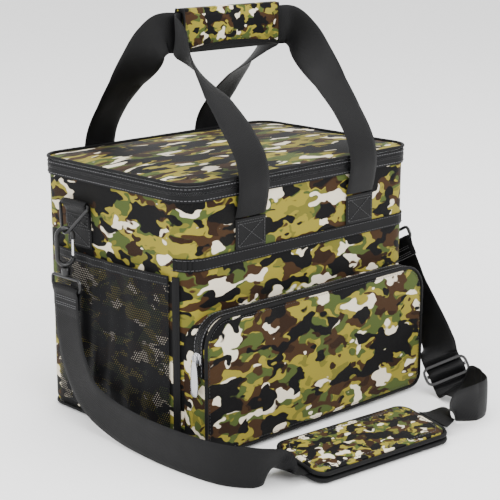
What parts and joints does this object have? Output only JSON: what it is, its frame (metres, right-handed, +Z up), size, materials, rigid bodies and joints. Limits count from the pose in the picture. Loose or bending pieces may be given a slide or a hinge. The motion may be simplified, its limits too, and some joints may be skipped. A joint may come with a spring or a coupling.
{
  "type": "insulated cooler bag",
  "caption": "Boxy insulated cooler bag: zipped lid, front zip pouch, mesh side pockets, two handles with a wrapped grip, and a hooked shoulder strap with a pad.",
  "frame": {"origin": "centre of the bag's base, on the surface it stands on", "axes": "+Z up, -Y is the front with the pouch, +X runs to the right along the front"},
  "size_m": [0.3566, 0.3595, 0.3908],
  "materials": {
    "camo_fabric": "printed woven polyester in dark blue, brown, green, olive and cream patches",
    "black_webbing": "ribbed nylon webbing with a satin sheen",
    "black_trim": "folded binding and corded piping",
    "zip_tape": "woven zip tape",
    "nickel": "plated die-cast zip slider and pull",
    "black_plastic": "moulded acetal",
    "bright_steel": "plated steel gate and pin",
    "mesh_net": "open hexagonal polyester net",
    "foam": "closed-cell insulation foam",
    "liner": "smooth wipe-clean silver-grey liner",
    "board": "stiff base board"
  },
  "bodies": {
    "bag": {"outer_shell": "camo_fabric", "insulation_foam": "foam", "inner_liner": "liner", "base_board": "board", "base_piping": "black_trim", "body_zip_tape": "zip_tape", "front_binding": "black_trim", "pouch_gusset_lower": "camo_fabric", "pouch_gusset_upper": "camo_fabric", "pouch_panel": "camo_fabric", "pouch_piping_lower": "black_trim", "pouch_tape_body": "zip_tape", "pocket_net_left": "mesh_net", "pocket_net_right": "mesh_net", "pocket_hem_left": "black_trim", "pocket_hem_right": "black_trim", "pocket_edge_left": "black_trim", "pocket_edge_right": "black_trim", "ring_tab_left": "black_webbing", "ring_tab_right": "black_webbing", "anchor_front_left": "black_webbing", "anchor_front_right": "black_webbing", "anchor_back_left": "black_webbing", "anchor_back_right": "black_webbing", "strap_left": "black_webbing", "strap_right": "black_webbing"},
    "lid": {"lid_panel": "camo_fabric", "lid_lining": "liner", "lid_band": "zip_tape", "lid_piping": "black_trim"},
    "handle_front": {"handle_web_front": "black_webbing", "grip_front": "camo_fabric"},
    "handle_back": {"handle_web_back": "black_webbing", "grip_back": "camo_fabric"},
    "pouch_cover": {"pouch_flap": "camo_fabric", "pouch_flap_rim": "camo_fabric", "pouch_piping_upper": "black_trim", "pouch_tape_flap": "zip_tape"},
    "pouch_slider_body": {"pouch_slider": "nickel"},
    "pouch_pull_body": {"pouch_pull": "nickel"},
    "lid_slider_body": {"lid_slider": "nickel"},
    "lid_pull_body": {"lid_pull": "nickel"},
    "buckle": {"buckle_frame": "black_plastic", "buckle_bar": "black_plastic"},
    "shoulder_pad": {"pad_base": "black_trim", "pad_top": "camo_fabric"},
    "ring_body_left": {"ring_left": "black_plastic"},
    "eye_body_left": {"swivel_eye_left": "black_plastic", "swivel_pin_left": "bright_steel", "strap_end_left": "black_webbing"},
    "hook_body_left": {"hook_left": "black_plastic", "swivel_barrel_left": "black_plastic"},
    "gate_body_left": {"gate_left": "bright_steel"},
    "ring_body_right": {"ring_right": "black_plastic"},
    "eye_body_right": {"swivel_eye_right": "black_plastic", "swivel_pin_right": "bright_steel", "strap_end_right": "black_webbing"},
    "hook_body_right": {"hook_right": "black_plastic", "swivel_barrel_right": "black_plastic"},
    "gate_body_right": {"gate_right": "bright_steel"}
  },
  "joints": [
    {"name": "lid_hinge", "type": "hinge", "parent": "bag", "child": "lid", "pos_m": [0, 0.109, 0.2415], "axis": [-1, 0, 0], "range_deg": [0, 105]},
    {"name": "handle_front_swing", "type": "hinge", "parent": "bag", "child": "handle_front", "pos_m": [0, -0.1083, 0.2122], "axis": [1, 0, 0], "range_deg": [0, 137]},
    {"name": "handle_back_swing", "type": "hinge", "parent": "bag", "child": "handle_back", "pos_m": [0, 0.1083, 0.2122], "axis": [-1, 0, 0], "range_deg": [0, 137]},
    {"name": "pouch_cover_fold", "type": "hinge", "parent": "bag", "child": "pouch_cover", "pos_m": [0, -0.13, 0.079], "axis": [1, 0, 0], "range_deg": [0, 55]},
    {"name": "pouch_slider_travel", "type": "slide", "parent": "bag", "child": "pouch_slider_body", "axis": [0, 0, 1], "range_m": [0, 0.006]},
    {"name": "pouch_pull_swing", "type": "hinge", "parent": "pouch_slider_body", "child": "pouch_pull_body", "pos_m": [-0.152, -0.1175, 0.1], "axis": [0, 1, 0], "range_deg": [0, 90]},
    {"name": "lid_slider_travel", "type": "slide", "parent": "bag", "child": "lid_slider_body", "axis": [0, -1, 0], "range_m": [0, 0.13]},
    {"name": "lid_pull_swing", "type": "hinge", "parent": "lid_slider_body", "child": "lid_pull_body", "pos_m": [0.1562, 0.07, 0.2435], "axis": [0, -1, 0], "range_deg": [0, 90]},
    {"name": "buckle_slide", "type": "slide", "parent": "bag", "child": "buckle", "axis": [0.1014, 0.6289, 0.7709], "range_m": [0, 0.012], "deforming": ["strap_right"]},
    {"name": "pad_slide", "type": "slide", "parent": "bag", "child": "shoulder_pad", "axis": [0.9962, -0.0872, 0], "range_m": [-0.01, 0.01], "deforming": ["strap_left", "strap_right"]},
    {"name": "eye_swing_left", "type": "hinge", "parent": "bag", "child": "eye_body_left", "pos_m": [-0.1558, 0.045, 0.2125], "axis": [0, 1, 0], "range_deg": [0, 38], "deforming": ["strap_left"]},
    {"name": "ring_swing_left", "type": "hinge", "parent": "bag", "child": "ring_body_left", "pos_m": [-0.1558, 0.045, 0.2125], "axis": [0, 1, 0], "range_deg": [0, 38]},
    {"name": "hook_swivel_left", "type": "hinge", "parent": "eye_body_left", "child": "hook_body_left", "pos_m": [-0.16851, 0.045, 0.15243], "axis": [0, 0, -1], "range_deg": [-10, 2]},
    {"name": "gate_left_hinge", "type": "hinge", "parent": "hook_body_left", "child": "gate_body_left", "pos_m": [-0.16202, 0.04125, 0.16573], "axis": [-0.5, -0.866, 0], "range_deg": [0, 20], "stiffness_Nm_per_rad": 0.01, "springref_deg": -5.73},
    {"name": "eye_swing_right", "type": "hinge", "parent": "bag", "child": "eye_body_right", "pos_m": [0.1558, -0.045, 0.2125], "axis": [0, -1, 0], "range_deg": [0, 38], "deforming": ["strap_right"]},
    {"name": "ring_swing_right", "type": "hinge", "parent": "bag", "child": "ring_body_right", "pos_m": [0.1558, -0.045, 0.2125], "axis": [0, -1, 0], "range_deg": [0, 38]},
    {"name": "hook_swivel_right", "type": "hinge", "parent": "eye_body_right", "child": "hook_body_right", "pos_m": [0.16851, -0.06515, 0.15783], "axis": [0, -0.5, -0.866], "range_deg": [-10, 5]},
    {"name": "gate_right_hinge", "type": "hinge", "parent": "hook_body_right", "child": "gate_body_right", "pos_m": [0.16202, -0.05525, 0.16748], "axis": [0.5, 0.75, -0.433], "range_deg": [0, 20], "stiffness_Nm_per_rad": 0.01, "springref_deg": -5.73}
  ],
  "couplings": [
    {"joint": "handle_front_swing", "follows": "lid_hinge", "ratio": 1.3},
    {"joint": "handle_back_swing", "follows": "lid_hinge", "ratio": 1.3},
    {"joint": "ring_swing_left", "follows": "eye_swing_left", "ratio": 1},
    {"joint": "ring_swing_right", "follows": "eye_swing_right", "ratio": 1}
  ]
}
